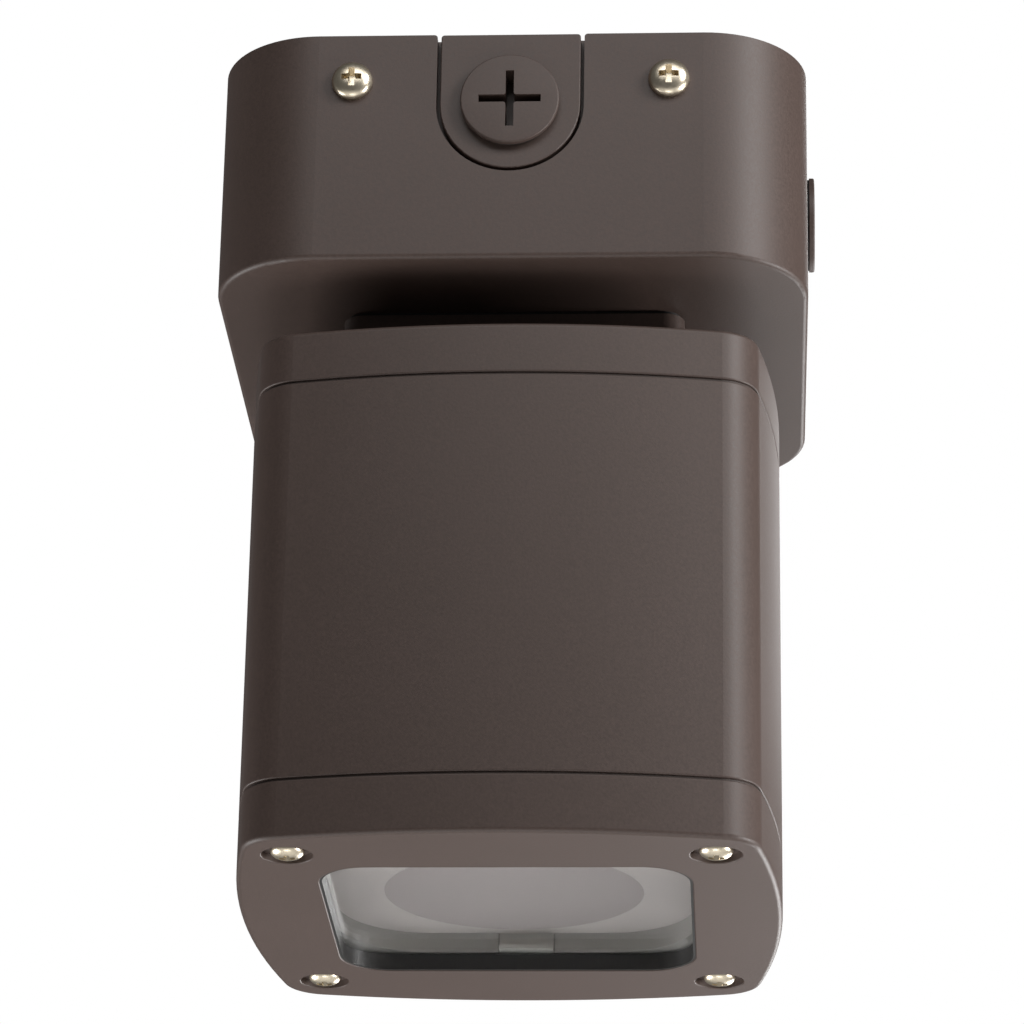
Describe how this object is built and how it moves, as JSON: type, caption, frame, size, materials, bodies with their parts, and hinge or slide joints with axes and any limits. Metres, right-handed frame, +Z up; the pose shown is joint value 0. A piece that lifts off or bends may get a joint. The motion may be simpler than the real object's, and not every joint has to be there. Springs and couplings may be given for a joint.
{
  "type": "led canopy light",
  "caption": "Ceiling-mounted LED canopy light: a square canopy with threaded conduit plugs, a short neck and a bowed square head with a glass window facing down.",
  "frame": {"origin": "middle of the mounting face, between the two slots for the ceiling box's screws, where the light meets the ceiling", "axes": "+Z up into the ceiling, with the light hanging below; X across the front, +X to the right seen from the front; the front faces -Y"},
  "size_m": [0.1476, 0.1416, 0.2038],
  "materials": {
    "bronze_powder_coat": "textured satin powder coat",
    "stainless_screw": "bright",
    "zinc_screw": "bright",
    "seal_rubber": "matte",
    "silicone_seal": "matte",
    "grey_frame": "matte",
    "white_reflector": "satin",
    "optic_silicone": "frosted",
    "clear_glass": "polished",
    "spring_steel": "bright",
    "cast_aluminium": "as cast",
    "circuit_board": "solder mask",
    "led_phosphor": "matte",
    "thermal_pad": "matte",
    "driver_case": "matte",
    "terminal_plastic": "matte",
    "brass_clamp": "bright",
    "green_lead": "satin",
    "white_lead": "satin",
    "black_lead": "satin",
    "red_lead": "satin"
  },
  "bodies": {
    "canopy_light": {"mounting_plate": "bronze_powder_coat", "ceiling_gasket": "seal_rubber", "driver_housing": "bronze_powder_coat", "cover_screws": "stainless_screw", "driver": "driver_case", "driver_screws": "zinc_screw", "terminal_block": "terminal_plastic", "terminal_clamps": "brass_clamp", "ground_lead": "green_lead", "neutral_lead": "white_lead", "line_lead": "black_lead", "ground_bond": "green_lead", "ground_screw": "brass_clamp", "neck": "bronze_powder_coat", "neck_gaskets": "seal_rubber", "neck_bolts": "zinc_screw", "head_top_cap": "bronze_powder_coat", "cable_grommet": "seal_rubber", "cap_screws": "stainless_screw", "cap_gasket": "seal_rubber", "bezel_gasket": "seal_rubber", "head_body": "bronze_powder_coat", "heat_sink": "cast_aluminium", "heatsink_screws": "zinc_screw", "thermal_pad": "thermal_pad", "led_board": "circuit_board", "board_screws": "zinc_screw", "led_emitters": "led_phosphor", "board_connector": "terminal_plastic", "positive_lead": "red_lead", "negative_lead": "black_lead", "optic_lens": "optic_silicone", "reflector_plate": "white_reflector", "lens_frame": "grey_frame", "lens_glass": "clear_glass", "lens_gasket": "silicone_seal", "lens_clips": "spring_steel", "clip_screws": "zinc_screw", "bezel": "bronze_powder_coat", "bezel_screws": "stainless_screw"},
    "front_seal_ring": {"front_plug_seal": "seal_rubber"},
    "front_plug": {"front_closure_plug": "bronze_powder_coat"},
    "right_seal_ring": {"right_plug_seal": "seal_rubber"},
    "right_plug": {"right_closure_plug": "bronze_powder_coat"},
    "rear_seal_ring": {"rear_plug_seal": "seal_rubber"},
    "rear_plug": {"rear_closure_plug": "bronze_powder_coat"},
    "left_seal_ring": {"left_plug_seal": "seal_rubber"},
    "left_plug": {"left_closure_plug": "bronze_powder_coat"}
  },
  "joints": [
    {"name": "front_plug_travel", "type": "slide", "parent": "canopy_light", "child": "front_seal_ring", "axis": [0, -1, 0], "range_m": [0, 0.0092]},
    {"name": "front_plug_turn", "type": "hinge", "parent": "front_seal_ring", "child": "front_plug", "pos_m": [0, -0.0675, -0.0186], "axis": [0, -1, 0], "range_deg": [0, 1800]},
    {"name": "right_plug_travel", "type": "slide", "parent": "canopy_light", "child": "right_seal_ring", "axis": [1, 0, 0], "range_m": [0, 0.0092]},
    {"name": "right_plug_turn", "type": "hinge", "parent": "right_seal_ring", "child": "right_plug", "pos_m": [0.0715, 0, -0.0186], "axis": [1, 0, 0], "range_deg": [0, 1800]},
    {"name": "rear_plug_travel", "type": "slide", "parent": "canopy_light", "child": "rear_seal_ring", "axis": [0, 1, 0], "range_m": [0, 0.0092]},
    {"name": "rear_plug_turn", "type": "hinge", "parent": "rear_seal_ring", "child": "rear_plug", "pos_m": [0, 0.0675, -0.0186], "axis": [0, 1, 0], "range_deg": [0, 1800]},
    {"name": "left_plug_travel", "type": "slide", "parent": "canopy_light", "child": "left_seal_ring", "axis": [-1, 0, 0], "range_m": [0, 0.0092]},
    {"name": "left_plug_turn", "type": "hinge", "parent": "left_seal_ring", "child": "left_plug", "pos_m": [-0.0715, 0, -0.0186], "axis": [-1, 0, 0], "range_deg": [0, 1800]}
  ],
  "couplings": [
    {"joint": "front_plug_travel", "follows": "front_plug_turn", "m_per_rad": 0.00028875},
    {"joint": "right_plug_travel", "follows": "right_plug_turn", "m_per_rad": 0.00028875},
    {"joint": "rear_plug_travel", "follows": "rear_plug_turn", "m_per_rad": 0.00028875},
    {"joint": "left_plug_travel", "follows": "left_plug_turn", "m_per_rad": 0.00028875}
  ]
}
